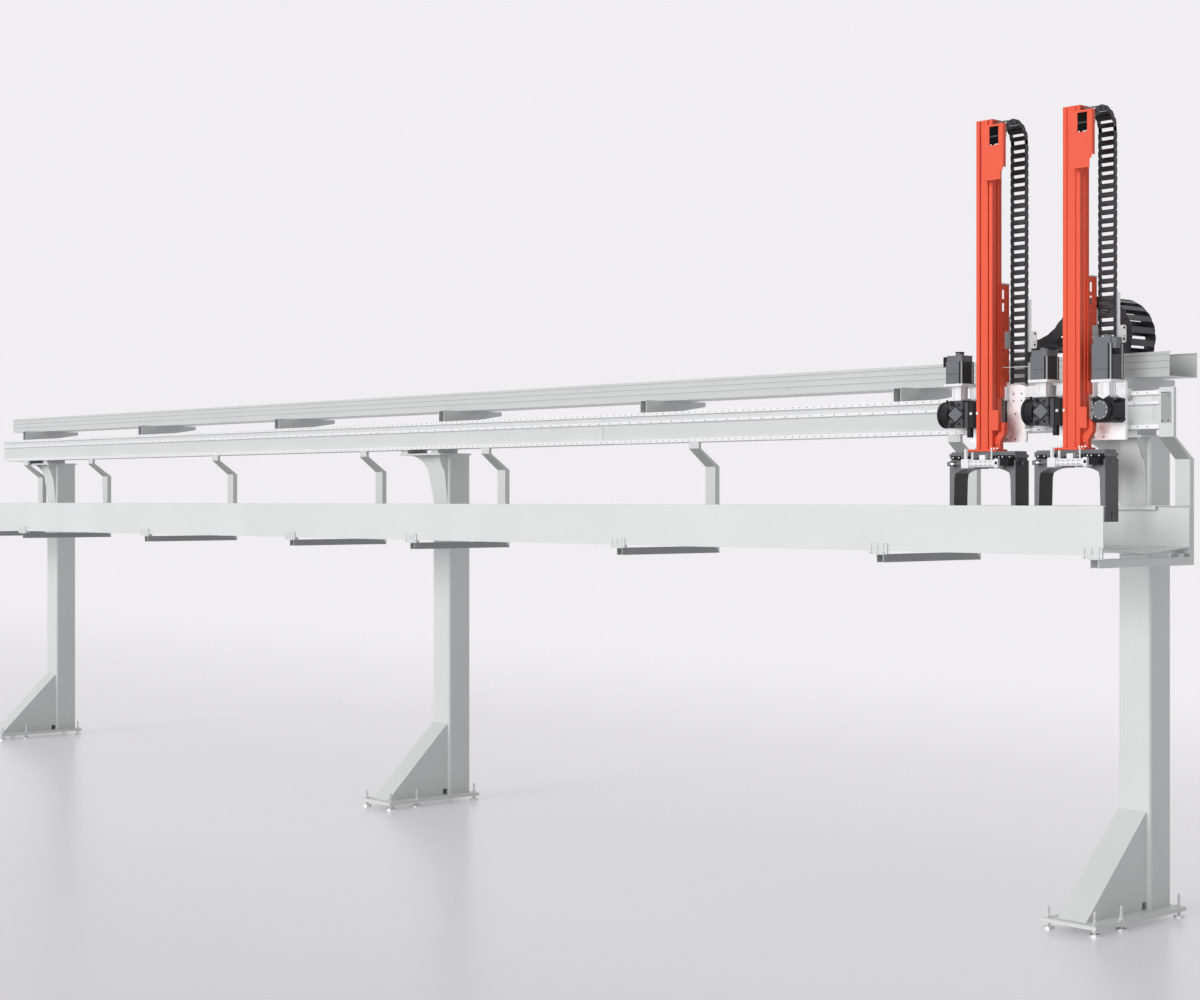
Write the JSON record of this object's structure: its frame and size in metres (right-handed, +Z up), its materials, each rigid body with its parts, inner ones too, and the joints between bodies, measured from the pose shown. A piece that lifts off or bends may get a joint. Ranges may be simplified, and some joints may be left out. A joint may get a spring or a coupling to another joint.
{
  "type": "gantry robot",
  "caption": "Overhead linear gantry with a rack-driven carriage, two vertical axes, energy chains and two-jaw grippers above a long parts tray.",
  "frame": {"origin": "on the floor, under the middle of the overall length and width", "axes": "+Z up, +X along the beam towards the station where the carriage rests, -Y towards the side where the robots hang"},
  "size_m": [13.244, 1.25, 4.318],
  "materials": {
    "frame_paint": "satin powder coat",
    "tray_paint": "satin powder coat",
    "bright_steel": "ground",
    "zinc": "zinc plated",
    "galvanised": "galvanised",
    "plate_grey": "satin",
    "white_alloy": "clear anodised",
    "motor_grey": "semi-matt",
    "gearbox_black": "semi-matt",
    "orange": "satin",
    "chain_plastic": "moulded",
    "tool_black": "black oxide",
    "cylinder_white": "anodised"
  },
  "bodies": {
    "frame": {"column_1": "frame_paint", "column_2": "frame_paint", "column_3": "frame_paint", "levelling_feet": "zinc", "beam_segment_1": "frame_paint", "beam_segment_2": "frame_paint", "beam_segment_3": "frame_paint", "rail_upper": "bright_steel", "rail_lower": "bright_steel", "x_rack": "bright_steel", "cable_trough": "galvanised", "trough_arms": "galvanised", "tray_bracket_end": "frame_paint", "tray_brackets": "frame_paint", "tray_front_wall": "tray_paint", "tray_back_wall": "tray_paint", "tray_floor": "tray_paint", "tray_supports": "frame_paint", "x_chain_lower_run": "chain_plastic"},
    "carriage": {"carriage_plate_1": "plate_grey", "carriage_plate_2": "plate_grey", "coupling_bar": "white_alloy", "guide_shoes": "zinc", "z_guide_blocks": "zinc", "x_motor": "motor_grey", "x_gearbox": "gearbox_black", "x_chain_shelf": "plate_grey", "x_chain_upper_run": "chain_plastic", "z_motor_1": "motor_grey", "z_gearbox_1": "gearbox_black", "z_chain_post_1": "orange", "z_chain_guide_1": "galvanised", "z_chain_run_1": "chain_plastic", "z_motor_2": "motor_grey", "z_gearbox_2": "gearbox_black", "z_chain_post_2": "orange", "z_chain_guide_2": "galvanised", "z_chain_run_2": "chain_plastic"},
    "x_chain_loop": {"x_chain_loop": "chain_plastic"},
    "x_pinion": {"x_pinion": "bright_steel"},
    "z_axis_1": {"z_beam_1": "orange", "z_rails_1": "bright_steel", "z_rack_1": "bright_steel", "top_cover_1": "orange", "rail_plate_1": "tool_black", "gripper_cylinder_1": "cylinder_white"},
    "z_pinion_1": {"z_pinion_1": "bright_steel"},
    "z_chain_loop_1": {"z_chain_loop_1": "chain_plastic"},
    "jaw_left_1": {"jaw_left_1": "tool_black"},
    "jaw_right_1": {"jaw_right_1": "tool_black"},
    "z_axis_2": {"z_beam_2": "orange", "z_rails_2": "bright_steel", "z_rack_2": "bright_steel", "top_cover_2": "orange", "rail_plate_2": "tool_black", "gripper_cylinder_2": "cylinder_white"},
    "z_pinion_2": {"z_pinion_2": "bright_steel"},
    "z_chain_loop_2": {"z_chain_loop_2": "chain_plastic"},
    "jaw_left_2": {"jaw_left_2": "tool_black"},
    "jaw_right_2": {"jaw_right_2": "tool_black"}
  },
  "joints": [
    {"name": "carriage_slide", "type": "slide", "parent": "frame", "child": "carriage", "axis": [1, 0, 0], "range_m": [-11.18, 0], "deforming": ["x_chain_lower_run", "x_chain_upper_run"]},
    {"name": "x_pinion_spin", "type": "hinge", "parent": "carriage", "child": "x_pinion", "pos_m": [6.264, 0.06, 2.7], "axis": [0, 1, 0], "continuous": true},
    {"name": "x_chain_roll", "type": "slide", "parent": "carriage", "child": "x_chain_loop", "axis": [1, 0, 0], "range_m": [0, 5.59]},
    {"name": "z_slide_1", "type": "slide", "parent": "carriage", "child": "z_axis_1", "axis": [0, 0, 1], "range_m": [-1.2, 0], "deforming": ["z_chain_run_1"]},
    {"name": "z_pinion_spin_1", "type": "hinge", "parent": "carriage", "child": "z_pinion_1", "pos_m": [5.397, -0.06, 2.7], "axis": [0, 1, 0], "continuous": true},
    {"name": "z_chain_roll_1", "type": "slide", "parent": "z_axis_1", "child": "z_chain_loop_1", "axis": [0, 0, 1], "range_m": [0, 0.6]},
    {"name": "jaw_left_1_slide", "type": "slide", "parent": "z_axis_1", "child": "jaw_left_1", "axis": [1, 0, 0], "range_m": [0, 0.04]},
    {"name": "jaw_right_1_slide", "type": "slide", "parent": "z_axis_1", "child": "jaw_right_1", "axis": [1, 0, 0], "range_m": [-0.04, 0]},
    {"name": "z_slide_2", "type": "slide", "parent": "carriage", "child": "z_axis_2", "axis": [0, 0, 1], "range_m": [-1.2, 0], "deforming": ["z_chain_run_2"]},
    {"name": "z_pinion_spin_2", "type": "hinge", "parent": "carriage", "child": "z_pinion_2", "pos_m": [5.972, -0.06, 2.7], "axis": [0, 1, 0], "continuous": true},
    {"name": "z_chain_roll_2", "type": "slide", "parent": "z_axis_2", "child": "z_chain_loop_2", "axis": [0, 0, 1], "range_m": [0, 0.6]},
    {"name": "jaw_left_2_slide", "type": "slide", "parent": "z_axis_2", "child": "jaw_left_2", "axis": [1, 0, 0], "range_m": [0, 0.04]},
    {"name": "jaw_right_2_slide", "type": "slide", "parent": "z_axis_2", "child": "jaw_right_2", "axis": [1, 0, 0], "range_m": [-0.04, 0]}
  ],
  "couplings": [
    {"joint": "x_pinion_spin", "follows": "carriage_slide", "rad_per_m": -35.714},
    {"joint": "x_chain_roll", "follows": "carriage_slide", "ratio": -0.5},
    {"joint": "z_pinion_spin_1", "follows": "z_slide_1", "rad_per_m": -33.333},
    {"joint": "z_chain_roll_1", "follows": "z_slide_1", "ratio": -0.5},
    {"joint": "jaw_right_1_slide", "follows": "jaw_left_1_slide", "ratio": -1},
    {"joint": "z_pinion_spin_2", "follows": "z_slide_2", "rad_per_m": -33.333},
    {"joint": "z_chain_roll_2", "follows": "z_slide_2", "ratio": -0.5},
    {"joint": "jaw_right_2_slide", "follows": "jaw_left_2_slide", "ratio": -1}
  ]
}
